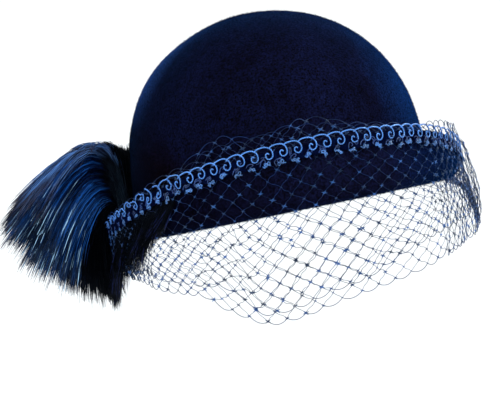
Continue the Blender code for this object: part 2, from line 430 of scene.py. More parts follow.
class Graph:
    """A material's nodes, added one at a time round its Principled shader."""

    def __init__(self, name: str) -> None:
        """Starts a material.

        Args:
            name: its name.
        """
        self.material = bpy.data.materials.new(name)
        self.material.use_nodes = True
        self.tree = self.material.node_tree
        self.shader = self.tree.nodes["Principled BSDF"]

    def node(self, kind: str, inputs: dict[str | int, Any] | None = None, **settings: Any) -> Any:
        """Adds a node.

        Args:
            kind: the node's type, without the leading ShaderNode.
            inputs: values or sockets for its inputs, by name or number.
            settings: properties of the node.

        Returns:
            The node.
        """
        made = self.tree.nodes.new(f"ShaderNode{kind}")
        for key, value in settings.items():
            setattr(made, key, value)
        for key, value in (inputs or {}).items():
            self.feed(made.inputs[key], value)
        return made

    def feed(self, socket: Any, value: Any) -> None:
        """Links a socket to an input, or sets the input's value.

        Args:
            socket: the input.
            value: another node's output, a colour or a number.
        """
        if isinstance(value, bpy.types.NodeSocket):
            self.tree.links.new(value, socket)
        elif isinstance(value, tuple) and len(value) == 3 and socket.type == "RGBA":
            socket.default_value = (*value, 1.0)
        else:
            socket.default_value = value

    def place(self) -> Any:
        """Each point's place on the hat."""
        return self.node("TexCoord").outputs["Object"]

    def axes(self, where: Any) -> Any:
        """The X, Y and Z of coordinates, by name."""
        return self.node("SeparateXYZ", {"Vector": where}).outputs

    def noise(self, where: Any, scale: float, detail: float = 3.0, rough: float = 0.55) -> Any:
        """A noise value from 0 to 1."""
        inputs = {"Vector": where, "Scale": scale, "Detail": detail, "Roughness": rough}
        return self.node("TexNoise", inputs).outputs["Fac"]

    def stretched(self, where: Any, scale: Colour) -> Any:
        """Coordinates that are scaled along each axis."""
        return self.node("Mapping", {"Vector": where, "Scale": scale}).outputs["Vector"]

    def ramp(self, value: Any, stops: Sequence[tuple[float, Colour]]) -> Any:
        """A colour read from a value.

        Args:
            value: the socket that it reads.
            stops: the colours, each with the value that has it.

        Returns:
            The colour's socket.
        """
        made = self.node("ValToRGB", {"Fac": value})
        marks = made.color_ramp.elements
        while len(marks) < len(stops):
            marks.new(0.5)
        for mark, (place, colour) in zip(marks, stops):
            mark.position = place
            mark.color = (*colour, 1.0)
        return made.outputs["Color"]

    def fade(
        self, value: Any, start: float, end: float, first: Colour = BLACK, last: Colour = WHITE
    ) -> Any:
        """A colour that goes from the first to the last as the value goes from start to end."""
        return self.ramp(value, ((start, first), (end, last)))

    def mixed(self, share: Any, first: Any, second: Any, mode: str = "MIX") -> Any:
        """Two colours mixed.

        Args:
            share: how much of the second, from 0 to 1.
            first: the colour below.
            second: the colour laid over it.
            mode: how it is laid.

        Returns:
            The colour's socket.
        """
        made = self.node("Mix", data_type="RGBA", blend_type=mode)
        for key, value in (("Factor", share), ("A", first), ("B", second)):
            wanted = "VALUE" if key == "Factor" else "RGBA"
            self.feed(next(s for s in made.inputs if s.name == key and s.type == wanted), value)
        return next(s for s in made.outputs if s.type == "RGBA")

    def times(self, first: Any, second: Any) -> Any:
        """Two colours multiplied."""
        return self.mixed(1.0, first, second, "MULTIPLY")

    def maths(self, first: Any, second: Any, operation: str = "ADD") -> Any:
        """Two numbers put together."""
        return self.node("Math", {0: first, 1: second}, operation=operation).outputs[0]

    def scaled(self, value: Any, by: float, plus: float = 0.0) -> Any:
        """A number multiplied by another, and raised by a third where there is one."""
        made = self.maths(value, by, "MULTIPLY")
        return self.maths(made, plus) if plus else made

    def blend(self, first: Any, share: float, second: Any) -> Any:
        """The first number by its share and the second by the rest."""
        return self.maths(self.scaled(first, share), self.scaled(second, 1 - share))

    def bump(self, height: Any, depth: float, strength: float = 1.0, under: Any = None) -> Any:
        """A bumped normal.

        Args:
            height: the socket with the height, from 0 to 1.
            depth: how high 1 stands, in metres.
            strength: how much of it shows.
            under: the normal that it stands on, where it isn't the surface's own.

        Returns:
            The normal's socket.
        """
        inputs = {"Height": height, "Distance": depth, "Strength": strength}
        if under is not None:
            inputs["Normal"] = under
        return self.node("Bump", inputs).outputs["Normal"]

    def finish(self, values: dict[str, Any]) -> Finish:
        """Sets inputs of the Principled shader.

        Args:
            values: sockets or values, by the input's name.

        Returns:
            The material.
        """
        for key, value in values.items():
            self.feed(self.shader.inputs[key], value)
        return self.material


@dataclass(frozen=True)
class VelourFelt:
    """Short-napped felt, nearly black from straight on, blue where light skims its nap; sheen and shade
    are also painted into its colour by side.
    """

    name: str
    # Painted shade, multiplied in over the wearer's right side.
    far: Colour = (0.55, 0.50, 0.50)
    shade: Colour = (0.0020, 0.0018, 0.0050)
    lit: Colour = (0.0036, 0.0045, 0.0158)
    # Painted sheen: the blue that light skimming the nap gives, towards the wearer's left.
    painted_sheen: Colour = (0.0022, 0.0130, 0.0520)
    # Painted sheen in a band high on the crown.
    painted_high_sheen: Colour = (0.0085, 0.0220, 0.0740)
    # Painted shadow of the plume, multiplied in low on the wearer's right side.
    painted_plume_shadow: Colour = (1.0, 0.42, 0.20)
    sheen: Colour = (0.02, 0.30, 1.0)
    sheen_weight: float = 0.05
    nap_grain: float = 950.0
    brush_grain: float = 260.0
    cloud_grain: float = 26.0

    def painted_by_side(self, graph: Graph, colour: Any, cloud: Any, axes: Any) -> Any:
        """Paints light and shade into the felt by its side: painted shade over the wearer's right side,
        a painted shadow low by the plume, and painted sheen, bluer, at the wearer's left.

        Args:
            graph: the material's nodes.
            colour: the felt's colour so far.
            cloud: the slow noise that frays the borders.
            axes: the place's X, Y and Z.

        Returns:
            The tinted colour.
        """
        side = graph.maths(axes["X"], graph.scaled(cloud, 0.03))
        across = graph.scaled(side, 5.0, 0.5)
        # Painted shade: the felt is darker over the wearer's right side.
        colour = graph.times(colour, graph.fade(across, 0.15, 0.62, self.far))
        # Painted shadow of the plume: darker low on the wearer's right side, near the plume.
        plume_shadow_share = graph.maths(graph.scaled(side, -20.0), graph.scaled(axes["Z"], -15.0))
        colour = graph.times(colour, graph.fade(plume_shadow_share, 0.16, 0.52, WHITE, self.painted_plume_shadow))
        # Painted sheen, bluer towards the wearer's left side.
        return graph.mixed(graph.fade(across, 0.78, 0.99), colour, self.painted_sheen)

    def painted_sheen_band(self, graph: Graph, axes: Any) -> Any:
        """The share of painted sheen: a bluer band high on the crown at the wearer's right.

        Args:
            graph: the material's nodes.
            axes: the place's X, Y and Z.

        Returns:
            The share's socket.
        """
        high = graph.fade(graph.scaled(axes["Z"], 10.0), 0.60, 0.80)
        right = graph.fade(graph.scaled(axes["X"], -10.0), 0.15, 0.45)
        deep = graph.scaled(axes["Y"], 10.0, 0.5)
        stops = ((0.15, BLACK), (0.46, WHITE), (0.60, (0.9,) * 3), (1.0, (0.05,) * 3))
        return graph.times(graph.times(high, right), graph.ramp(deep, stops))

    def material(self) -> Finish:
        """Builds the finish."""
        graph = Graph(self.name)
        place = graph.place()
        axes = graph.axes(place)
        nap = graph.noise(place, self.nap_grain, 4.0, 0.7)
        brushed = graph.noise(graph.stretched(place, (1.0, 1.0, 0.35)), self.brush_grain, 5.0, 0.65)
        cloud = graph.noise(place, self.cloud_grain, 4.0, 0.6)
        colour = graph.fade(graph.blend(brushed, 0.45, cloud), 0.36, 0.66, self.shade, self.lit)
        colour = self.painted_by_side(graph, colour, cloud, axes)
        # Painted sheen band, high on the crown at the wearer's right.
        colour = graph.mixed(self.painted_sheen_band(graph, axes), colour, self.painted_high_sheen)
        colour = graph.times(colour, graph.fade(nap, 0.38, 0.62, (0.45, 0.25, 0.08), (1.7, 1.95, 2.5)))
        return graph.finish({
            "Base Color": colour, "Roughness": 0.95, "Specular IOR Level": 0.0,
            "Sheen Weight": self.sheen_weight, "Sheen Roughness": 0.36, "Sheen Tint": self.sheen,
            "Normal": graph.bump(nap, 0.00016, 0.60, graph.bump(brushed, 0.00020, 0.45)),
        })


@dataclass(frozen=True)
class TwistedCord:
    """Rayon cord: two plies twisted together, with a bright skin."""

    name: str
    shade: Colour = (0.004, 0.010, 0.070)
    lit: Colour = (0.026, 0.085, 0.400)
    plies: float = 2.0
    twist: float = 9.0
    roughness: float = 0.24
    sheen_weight: float = 0.10
    gloss: float = 0.9
    worn: float = 0.9
    patch: float = 110.0
    skin: Colour = (0.62, 0.82, 1.0)
    fuzz: float = 900.0

    def material(self) -> Finish:
        """Builds the finish."""
        graph = Graph(self.name)
        laid = graph.axes(graph.node("UVMap", uv_map="UVMap").outputs["UV"])
        turns = graph.maths(graph.scaled(laid["X"], self.plies), graph.scaled(laid["Y"], self.twist))
        ply = graph.scaled(graph.maths(graph.scaled(turns, FULL_TURN), 0.0, "SINE"), 0.5, 0.5)
        place = graph.place()
        # Painted shade and highlight along the twist: ply crowns painted light, the grooves between
        # plies painted in shade.
        tone = graph.blend(ply, 0.6, graph.noise(place, self.fuzz, 3.0))
        colour = graph.fade(tone, 0.15, 0.80, self.shade, self.lit)
        dim = graph.fade(graph.noise(place, self.patch, 2.0), 0.40, 0.62, (self.worn,) * 3)
        return graph.finish({
            "Base Color": graph.times(colour, dim), "Roughness": self.roughness,
            "Specular IOR Level": self.gloss, "Specular Tint": self.skin,
            "Sheen Weight": self.sheen_weight, "Sheen Roughness": 0.3, "Sheen Tint": (0.25, 0.50, 1.0),
            "Normal": graph.bump(ply, 0.00016, 0.8),
        })


@dataclass(frozen=True)
class RibbedBand:
    """The braid's ground: close ribs of dark cord across the band."""

    name: str
    shade: Colour = (0.0004, 0.0005, 0.0026)
    lit: Colour = (0.0014, 0.0050, 0.0340)

    def material(self) -> Finish:
        """Builds the finish."""
        graph = Graph(self.name)
        place = graph.place()
        fine = graph.noise(place, 1300.0, 4.0, 0.7)
        coarse = graph.noise(graph.stretched(place, (1.0, 1.0, 0.5)), 420.0, 3.0)
        tone = graph.blend(fine, 0.5, coarse)
        return graph.finish({
            "Base Color": graph.fade(tone, 0.40, 0.72, self.shade, self.lit), "Roughness": 0.6,
            "Specular IOR Level": 0.0, "Sheen Weight": 0.02, "Sheen Roughness": 0.4,
            "Sheen Tint": (0.10, 0.28, 1.0), "Normal": graph.bump(tone, 0.0004, 0.8),
        })


@dataclass(frozen=True)
class FeatherFibre:
    """Glossy plume fibre: dark at the root, partly its own colour and partly painted shade; blue along
    its length, duller at the tip, with painted glints on a few fibres.
    """

    name: str
    root: Colour = (0.0010, 0.0008, 0.0018)
    dull: Colour = (0.0005, 0.0012, 0.0060)
    middle: Colour = (0.0012, 0.0115, 0.0720)
    bright: Colour = (0.0110, 0.1050, 0.4400)
    # Painted glint: a bright streak laid into the colour of a few fibres.
    painted_glint: Colour = (0.42, 0.72, 1.0)
    tip: Colour = (0.0010, 0.0020, 0.0090)
    roughness: float = 0.28
    gloss: float = 0.28
    painted_glinting: tuple[float, ...] = (0.78, 0.81, 0.93, 0.97)

    def material(self) -> Finish:
        """Builds the finish."""
        graph = Graph(self.name)
        tone, along = (
            graph.node("Attribute", attribute_name=kept).outputs["Fac"] for kept in ("tone", "along")
        )
        shades = graph.blend(tone, 0.8, graph.noise(graph.place(), 160.0, 2.0))
        body = graph.ramp(shades, ((0.26, self.dull), (0.44, self.middle), (0.74, self.bright)))
        body = graph.mixed(graph.fade(along, 0.88, 1.0), body, self.tip)
        # The root colour is partly the fibre's own dark base and partly painted shade where the roots
        # sit deep between crown and brim.
        colour = graph.mixed(graph.fade(along, 0.38, 0.58, WHITE, BLACK), body, self.root)
        # Painted glints: a bright streak in the last third of the fibres with the highest tones.
        moved = graph.maths(along, graph.scaled(graph.maths(tone, -0.96), 4.0))
        lit = graph.ramp(moved, tuple(zip(self.painted_glinting, (BLACK, WHITE, WHITE, BLACK))))
        colour = graph.mixed(graph.times(graph.fade(tone, 0.90, 0.91), lit), colour, self.painted_glint)
        return graph.finish({
            "Base Color": colour, "Roughness": self.roughness, "Specular IOR Level": self.gloss,
            "Specular Tint": (0.30, 0.60, 1.0),
        })


@dataclass(frozen=True)
class PlainStage:
    """The matt floor and the wall that it sweeps up into."""

    name: str = "pale_backdrop"
    colour: Colour = (0.86, 0.86, 0.86)

    def material(self) -> Finish:
        """Builds the finish."""
        settings = {"Base Color": self.colour, "Roughness": 0.9, "Specular IOR Level": 0.1}
        return Graph(self.name).finish(settings)


@dataclass
class Crown:
    """The domed felt crown, hollow, with a soft, slightly uneven surface."""

    around: int = 160
    rings: int = 34
    unevenness: float = 0.0005
    grain: float = 0.05
    settle: float = 0.0012
    last_ring: float = 0.985
    crowding: float = 0.93
    hairs: int = 45000

    def wall(self, out: float, height: float) -> Array:
        """Rings of one wall, from its foot to near its top.

        Args:
            out: how far it stands out from the edge of the head opening.
            height: its height at the top.

        Returns:
            Points, shape (rings, around, 3).
        """
        rise = np.radians(90 * np.linspace(0, self.last_ring, self.rings) ** self.crowding)[:, None]
        a = np.radians(np.linspace(-180, 180, self.around, endpoint=False))[None, :]
        up = np.sin(rise) ** (2 / SHAPE.uprightness)
        share = np.cos(rise) ** (2 / SHAPE.roundness)
        z = np.maximum(height * up, SHAPE.felt + SHAPE.gap)
        wide, deep = SHAPE.half_width + out, SHAPE.half_depth + out
        rings = np.stack([wide * share * np.sin(a), -deep * share * np.cos(a), z + 0 * a], -1)
        away = unit(rings * np.array([1, 1, 0.6]))
        fade = np.clip(np.arange(self.rings) / 5, 0, 1)[:, None, None]
        return rings + away * (wander(rings, self.grain, 4)[..., None] * self.unevenness * fade)

    def build(self, felt: Finish) -> None:
        """Makes the crown and dresses it.

        Args:
            felt: its finish.
        """
        height = SHAPE.crown_height - self.settle
        inner, outer = self.wall(0.0, height - SHAPE.felt), self.wall(SHAPE.felt, height)
        made = loft("crown_felt", np.concatenate([inner[::-1], outer]), LoftEnd.POLES)
        dressed(made, felt, "crown_felt", "crown")
        roots, normals = scattered(outer, self.hairs, 61)
        dressed(nap("crown_nap", roots, normals, self.brushed(normals), 62), felt, "crown_felt")

    def brushed(self, normals: Array) -> Array:
        """Which way the nap lies: down the crown and a little round it."""
        return (normals * normals[:, 2:] - UPWARD) * 0.9 + np.cross(normals, UPWARD) * 0.35


@dataclass
class Brim:
    """The turned-up felt brim, whose height changes round the hat."""

    around: int = 200
    corner_steps: int = 9
    upright_steps: int = 6
    edge_steps: int = 5
    unevenness: float = 0.0004
    grain: float = 0.035
    hairs: int = 30000

    def section(self, angle: Array) -> list[tuple[Array, Array]]:
        """The brim's section, once round it.

        Args:
            angle: degrees from the front.

        Returns:
            Its points, each as how far out and how high.
        """
        flare, height = SHAPE.flare(angle), SHAPE.height(angle)
        corner, felt = SHAPE.brim_corner, SHAPE.felt
        middle = flare - corner
        turns = np.radians(np.linspace(0, 90, self.corner_steps))
        outer = [(middle + corner * np.sin(t), corner * (1 - np.cos(t)) + 0 * angle) for t in turns]
        bend = corner - felt
        inner = [(middle + bend * np.sin(t), corner - bend * np.cos(t) + 0 * angle) for t in turns]
        round_off = felt / 2
        lip = SHAPE.face(angle, height) - round_off
        ups = np.linspace(0, 1, self.upright_steps + 1)[1:]
        top = height - round_off
        levels = [corner + (top - corner) * u for u in ups]
        rising = [(SHAPE.face(angle, z), z) for z in levels]
        over = np.linspace(0, math.pi, self.edge_steps + 2)[1:-1]
        edge = [(lip + round_off * math.cos(t), top + round_off * math.sin(t)) for t in over]
        falling = [(out - felt, z) for out, z in reversed(rising)]
        floor = [(middle * s, 0 * angle) for s in (0.0, 0.5)]
        inside = [(middle * s, felt + 0 * angle) for s in (0.5, 0.0)]
        return [*floor, *outer, *rising, *edge, *falling, *reversed(inner), *inside]

    def build(self, felt: Finish) -> None:
        """Makes the brim and dresses it.

        Args:
            felt: its finish.
        """
        angle = np.linspace(-180, 180, self.around, endpoint=False)
        rings = np.stack([SHAPE.point(angle, out, z) for out, z in self.section(angle)])
        upright = np.clip(rings[..., 2] / SHAPE.brim_corner, 0, 1)
        rings[..., 2] += wander(rings, self.grain, 9) * self.unevenness * upright
        made = loft("brim_felt", rings, LoftEnd.RING)
        dressed(made, felt, "brim_felt", "brim")
        roots, normals = scattered(rings, self.hairs, 63)
        way = np.cross(normals, UPWARD) * 0.8 - UPWARD * 0.4
        dressed(nap("brim_nap", roots, normals, way, 64), felt, "brim_felt")


@dataclass
class Braid:
    """The scroll braid round the brim's edge: a ribbed band, curled cords and small knots."""

    scrolls: int = 96
    cord_radius: float = 0.00035
    knot_radius: float = 0.00034
    band_thick: float = 0.0008
    net_room: float = 0.0020
    tangle: Line = Line((-180, -100, -75, -50, -30, 180), (0.12, 0.5, 1.0, 0.9, 0.12, 0.10))
    dwindle: Line = Line((-180, -110, -85, -60, -40, 180), (1.0, 0.85, 0.62, 0.72, 1.0, 1.0))
    size_slack: float = 0.10
    tilt_slack: float = 0.55
    shift_slack: float = 0.00055
    wobble: float = 0.00018
    scroll_path: tuple[Triple, ...] = (
        (-4.5, 1.7, 1.20), (-3.4, 2.5, 1.30), (-1.7, 3.0, 1.35), (0.2, 3.1, 1.35), (1.9, 2.8, 1.30),
        (3.3, 1.8, 1.20), (4.1, 0.3, 1.05), (4.2, -1.3, 0.90), (3.5, -2.6, 0.80), (2.3, -3.1, 0.80),
        (1.2, -2.6, 0.90), (0.7, -1.5, 1.05), (1.0, -0.4, 1.20), (1.8, -0.1, 1.25), (2.3, -0.8, 1.15),
    )
    tie_path: tuple[Triple, ...] = (
        (-2.4, -1.3, 0.8), (-1.7, 0.1, 1.0), (-0.4, 0.9, 1.0),
        (0.6, 0.4, 0.9), (0.3, -0.6, 0.9), (-0.6, -0.5, 1.0),
    )
    knot_path: tuple[Triple, ...] = (
        (-1.9, 0.5, 0.7), (-1.0, -0.7, 1.0), (-0.1, 0.8, 1.3), (0.7, -0.6, 1.1), (1.5, 0.6, 0.9),
        (0.8, 1.0, 1.2), (-0.3, -0.2, 1.5), (-1.4, 0.1, 1.1), (-0.6, 0.9, 0.9), (0.5, 0.2, 1.4),
        (1.9, -0.4, 0.8),
    )

    def __post_init__(self) -> None:
        """Measures the way round the brim, so that scrolls are evenly spaced along it."""
        self.angles = np.linspace(-180, 180, 2881)
        line = SHAPE.point(self.angles, SHAPE.flare(self.angles), SHAPE.height(self.angles))
        steps = np.linalg.norm(np.diff(line, axis=0), axis=1)
        self.lengths = np.concatenate([[0], np.cumsum(steps)])
        self.pitch = self.lengths[-1] / self.scrolls

    def angle_at(self, run: Array) -> Array:
        """The angle round the hat at a length along the brim."""
        return np.interp(np.mod(run, self.lengths[-1]), self.lengths, self.angles)

    def place(self, run: Array, up: Array, out: Array) -> Array:
        """Places points on the band.

        Args:
            run: length along the band.
            up: height above its lower edge.
            out: distance out from its inner face.

        Returns:
            The points.
        """
        angle = self.angle_at(run)
        foot = SHAPE.height(angle) - SHAPE.braid_height + SHAPE.scroll_rise
        inner = SHAPE.flare(angle) - SHAPE.brim_lean * 0.8 + self.net_room
        return SHAPE.point(angle, inner + out, foot + up)

    def smooth(self, path: Sequence[Sequence[float]], steps: int) -> Array:
        """Rounds off a path.

        Args:
            path: its corners, in millimetres.
            steps: how many points it is to have.

        Returns:
            The points, in metres.
        """
        corner = np.array(path)
        at = np.linspace(0, len(path) - 1, steps)
        places = tuple(range(len(path)))
        return np.stack([Line(places, tuple(corner[:, i])).at(at) for i in range(3)], -1) * MM

    def cords(
        self, name: str, path: Array, up: float, radius: float, sides: int, seed: int, loosest: float
    ) -> Piece:
        """Repeats a curled cord once a pitch, a little different each time.

        Args:
            name: the object's name.
            path: local points, x along the band, y up and z out.
            up: height of the path's middle above the band's lower edge.
            radius: the cord's radius.
            sides: sides of its section.
            seed: seed of the small differences.
            loosest: the least share of looseness anywhere, from 0 to 1.

        Returns:
            The object.
        """
        draw = np.random.default_rng(seed)
        count = self.scrolls
        run = (np.arange(count) + 0.5) * self.pitch
        angle = self.angle_at(run)
        loose = np.maximum(self.tangle.at(angle), loosest)[:, None]
        size = 1 + draw.normal(size=(count, 1)) * self.size_slack * loose
        size = size * self.dwindle.at(angle)[:, None]
        tilt = draw.normal(size=(count, 1)) * self.tilt_slack * loose
        x, y, z = path[None, :, 0], path[None, :, 1], path[None, :, 2]
        turned_x = (x * np.cos(tilt) - y * np.sin(tilt)) * size
        turned_y = (x * np.sin(tilt) + y * np.cos(tilt)) * size
        shift = draw.normal(size=(count, 2)) * self.shift_slack * loose
        shake = draw.normal(size=(count, path.shape[0], 2))
        shake = shake + np.roll(shake, 1, axis=1) + np.roll(shake, 2, axis=1)
        shake = shake * self.wobble * loose[..., None]
        along = run[:, None] + turned_x + shift[:, :1] + shake[..., 0]
        points = self.place(along, up + turned_y + shift[:, 1:] + shake[..., 1], z + 0 * turned_x)
        facing = SHAPE.outward(self.angle_at(along))
        return strands(name, points, radius, facing, sides, draw.uniform(0, 1, count))

    def band(self) -> Piece:
        """The ribbed band under the cords, rounded at both edges."""
        ribs = 6
        around = self.scrolls * ribs
        run = np.arange(around) * self.pitch / ribs
        rib = 1 + 0.35 * np.cos(np.arange(around) * math.pi)
        thick = self.band_thick * rib
        top = SHAPE.braid_height - 0.0030
        # Height above the lower edge, and share of the thickness.
        section = (
            (0.0004, 0.0), (0.0002, 0.45), (0.0005, 0.9), (0.0014, 1.0), (top / 2, 0.85),
            (top - 0.0014, 1.0), (top - 0.0004, 0.9), (top, 0.45), (top - 0.0004, 0.0),
        )
        rings = np.stack([self.place(run, up + 0 * run, share * thick) for up, share in section])
        return loft("braid_band", rings, LoftEnd.RING)

    def build(self, cord: Finish, knot: Finish, tie: Finish, ground: Finish) -> None:
        """Makes the braid's pieces and dresses them.

        Args:
            cord: the finish of the scrolls.
            knot: the finish of the knots under them.
            tie: the finish of the fine loose loops.
            ground: the finish of the band.
        """
        dressed(self.band(), ground, "braid_cord", "braid")
        # Name, path, points, height, radius, sides, seed, least looseness, finish.
        plans = (
            ("braid_scrolls", self.scroll_path, 28, 0.0064, self.cord_radius, 6, 11, 0.12, cord),
            ("braid_knots", self.knot_path, 21, 0.0000, self.knot_radius, 5, 12, 0.8, knot),
            ("braid_ties", self.tie_path, 9, 0.0022, self.knot_radius * 0.75, 5, 13, 0.6, tie),
            ("braid_strays", self.tie_path, 9, 0.0030, self.knot_radius * 0.65, 5, 14, 2.4, tie),
        )
        for name, path, steps, up, radius, sides, seed, loosest, finish in plans:
            made = self.cords(name, self.smooth(path, steps), up, radius, sides, seed, loosest)
            dressed(made, finish, "braid_cord")


@dataclass
class Veil:
    """The knotted net: over the brim's face, up into a heading, and down to a scalloped hem."""

    span: float = 125.0
    columns: int = 58
    rows: int = 10
    puff_columns: int = 22
    puff_rows: int = 5
    heading: float = 0.009
    drop: float = 0.052
    swing: float = 0.009
    tuck: float = 0.007
    face_room: float = 0.0009
    thread_radius: float = 0.00012
    hem_radius: float = 0.00017
    scallop: float = 0.0018
    slack: float = 0.00034
    bow: float = 0.00028
    stray: float = 0.00024
    ruffle_out: float = 0.0016
    ruffle_up: float = 0.0011
    fold: tuple[float, float] = (0.0008, 0.0012)
    under_step: float = 0.0016
    under_tuck: float = 0.006
    side_gather: float = 0.30
    back_pull: float = 0.40
    drops: Line = Line(
        (-125, -100, -80, -63, -52, -43, -38, -34, -27, -21, -14, -2, 8, 19, 31, 39, 60, 81, 100, 125),
        (-0.04, 0.05, 0.20, 0.36, 0.50, 0.58, 0.64, 0.77, 0.91, 0.98, 0.97, 0.91, 0.85, 0.80, 0.73,
         0.66, 0.52, 0.30, 0.10, -0.04),
    )
    under_drops: Line = Line(
        (-125, -100, -63, -40, -33, -28, -24, -15, -7, 1, 10, 21, 31, 60, 100, 125),
        (-0.04, 0.05, 0.30, 0.50, 0.56, 0.70, 0.88, 0.88, 0.83, 0.78, 0.72, 0.58, 0.48, 0.34, 0.10,
         -0.04),
    )
    headings: Line = Line(
        (-125, -75, -55, -46, -39, -32, -25, -17, -10, -2, 4, 11, 19, 30, 50, 75, 125),
        (0.20, 0.15, 0.20, 0.30, 0.48, 0.98, 1.15, 0.85, 0.80, 0.98, 0.98, 0.60, 0.28, 0.08, 0.15, 0.30,
         0.25),
    )
    swings: Line = Line(
        (-125, -100, -70, -40, -15, 15, 45, 75, 100, 125),
        (0.10, 0.30, 0.50, 0.30, 0.15, 0.15, 0.45, 0.80, 0.70, 0.20),
    )
    tucks: Line = Line((-100, -70, -40, -15, 15, 45, 75, 100), (0.0, 0.2, 0.8, 1.0, 1.0, 0.6, 0.9, 0.0))
    leans: Line = Line((-100, -70, -40, -15, 15, 45, 100), (0.0, -1.0, -3.0, -4.0, -3.0, 0.0, 0.0))
    puff_ends: tuple[float, float] = (37.0, 122.0)
    puff_swell: Line = Line((37, 50, 66, 80, 98, 122), (0.0, 0.30, 0.85, 1.0, 0.75, 0.10))
    puff_flat: Line = Line((0.0, 0.3, 0.6, 1.0), (3.6, 4.0, 3.4, 2.4))
    puff_full: Line = Line(
        (0.0, 0.12, 0.22, 0.4, 0.58, 0.8, 0.92, 1.0), (-0.5, 1.8, 4.3, 5.6, 6.9, 6.9, 6.0, 4.3)
    )

    def spread(self, across: Array, down: Array) -> Array:
        """Spreads the net round the hat: gathered, and pulled to the front, at both ends.

        Args:
            across: 0 at the wearer's right end to 1 at the left end.
            down: 0 at the heading's top to 1 at the hem.

        Returns:
            Degrees from the front.
        """
        t = 2 * across - 1
        angle = self.span * ((1 + self.side_gather) * t - self.side_gather * t**3)
        return angle * (1 - self.back_pull * down * np.clip(np.abs(t) * 1.6 - 0.25, 0, 1))

    def main_surface(self, across: Array, down: Array, under: bool) -> tuple[Array, Array]:
        """Places the over or the under layer.

        Args:
            across: 0 at the wearer's right end to 1 at the left end.
            down: 0 at the heading's top to 1 at the hem.
            under: true for the under layer.

        Returns:
            Points, and the level directions straight out there.
        """
        t = 2 * across - 1
        angle = self.spread(across, down)
        brim = SHAPE.height(angle)
        top = brim + self.heading * self.headings.at(angle) * (0.80 if under else 1.0)
        hem = -self.drop * (self.under_drops if under else self.drops).at(angle)
        z = top + (hem - top) * down
        leaves = brim - SHAPE.braid_height
        loose = np.clip((leaves - z) / (leaves + self.drop), 0, 1)
        below = np.maximum(0, -z / self.drop)
        above = np.clip((z - brim) / self.heading, 0, 1.3)
        out = SHAPE.face(angle, np.minimum(z, brim)) + self.face_room
        out = out + self.swing * self.swings.at(angle) * np.sin(loose * math.pi / 2)
        out = out - self.tuck * self.tucks.at(angle) * below**1.5
        out = out + self.leans.at(angle) * MM * above**1.3
        place = across * self.columns
        ruffle = np.sin(place * 2.1 + 3.0 * under) + 0.8 * np.sin(place * 0.93 + 1.0 + 2.0 * under)
        out = out + ruffle * above * self.ruffle_out
        z = z + above * np.sin(place * 1.37 + 2.0 * under) * self.ruffle_up
        folds = np.sin(across * 88 + 0.6) + 0.7 * np.sin(across * 41 + 2.0)
        out = out + folds * below * (self.fold[0] + self.fold[1] * np.abs(t))
        if under:
            inner = SHAPE.felt + SHAPE.gap + self.face_room + 0.0004
            tuck_in = np.clip((z - brim + 0.010) / 0.004, 0, 1)
            low = self.under_tuck * np.clip(1 + z / 0.008, 0, 1) * (1 - tuck_in)
            out = out - self.under_step - low - inner * tuck_in
        return SHAPE.point(angle, out, z), SHAPE.outward(angle)

    def puff_surface(self, across: Array, down: Array) -> tuple[Array, Array]:
        """Places the puff: the heading that falls outward over the braid at the left side.

        Args:
            across: 0 at the puff's front end to 1 at its rear end.
            down: 0 at its top to 1 at its hem.

        Returns:
            Points, and the level directions straight out there.
        """
        first, last = self.puff_ends
        angle = first + (last - first) * across
        angle = angle - 11.0 * down * np.sin(math.pi * np.clip(across, 0, 1)) ** 0.5
        brim, swell = SHAPE.height(angle), self.puff_swell.at(angle)
        top = brim + MM * (1.5 + 8.5 * swell)
        hem = -self.drop * (self.drops.at(angle) * 1.02) - 0.001 * swell
        z = top + (hem - top) * down
        out = self.puff_flat.at(down) * (1 - swell) + self.puff_full.at(down) * swell
        place = across * self.puff_columns
        ruffle = np.sin(place * 1.9) + 0.7 * np.sin(place * 0.83 + 0.5)
        out = out + ruffle * (0.35 + 0.5 * swell * np.abs(down - 0.35))
        return SHAPE.point(angle, SHAPE.flare(angle) + out * MM, z), SHAPE.outward(angle)

    def surface(self, across: Array, down: Array, kind: NetLayer) -> tuple[Array, Array]:
        """Places any layer of the net.

        Args:
            across: 0 at the layer's first end to 1 at its last.
            down: 0 at its top to 1 at its hem.
            kind: which layer.

        Returns:
            Points, and the level directions straight out there.
        """
        if kind is NetLayer.PUFF:
            return self.puff_surface(across, down)
        return self.main_surface(across, down, kind is NetLayer.UNDER)

    def knots(self, name: str, middle: Array, way: Array, seed: int) -> Piece:
        """Small crossed knots, each three slim diamonds of cord.

        Args:
            name: the object's name.
            middle: where the knots are, shape (knots, 3).
            way: straight out at each.
            seed: seed of their small differences.

        Returns:
            The object.
        """
        draw = np.random.default_rng(seed)
        level = np.cross(UPWARD, way)
        tilts = draw.normal(0, 0.25, len(middle))[:, None]
        size = draw.uniform(0.5, 1.15, (len(middle), 1))
        paths, radii = [], []
        for turn, length, thick in ((0.55, 1.65, 0.27), (-0.55, 1.65, 0.27), (math.pi / 2, 0.55, 0.42)):
            spin = turn + tilts
            lay = level * np.cos(spin) + UPWARD * np.sin(spin)
            reach = np.array([-1.0, -0.35, 0.35, 1.0])[None, :, None] * length * MM
            paths.append(middle[:, None, :] + lay[:, None, :] * reach * size[:, None, :])
            radii.append(np.array([0.12, 1.0, 1.0, 0.12])[None, :] * thick * MM * size)
        facing = np.repeat(np.tile(way, (3, 1))[:, None, :], 4, axis=1)
        return strands(name, np.concatenate(paths), np.concatenate(radii), facing, 4)

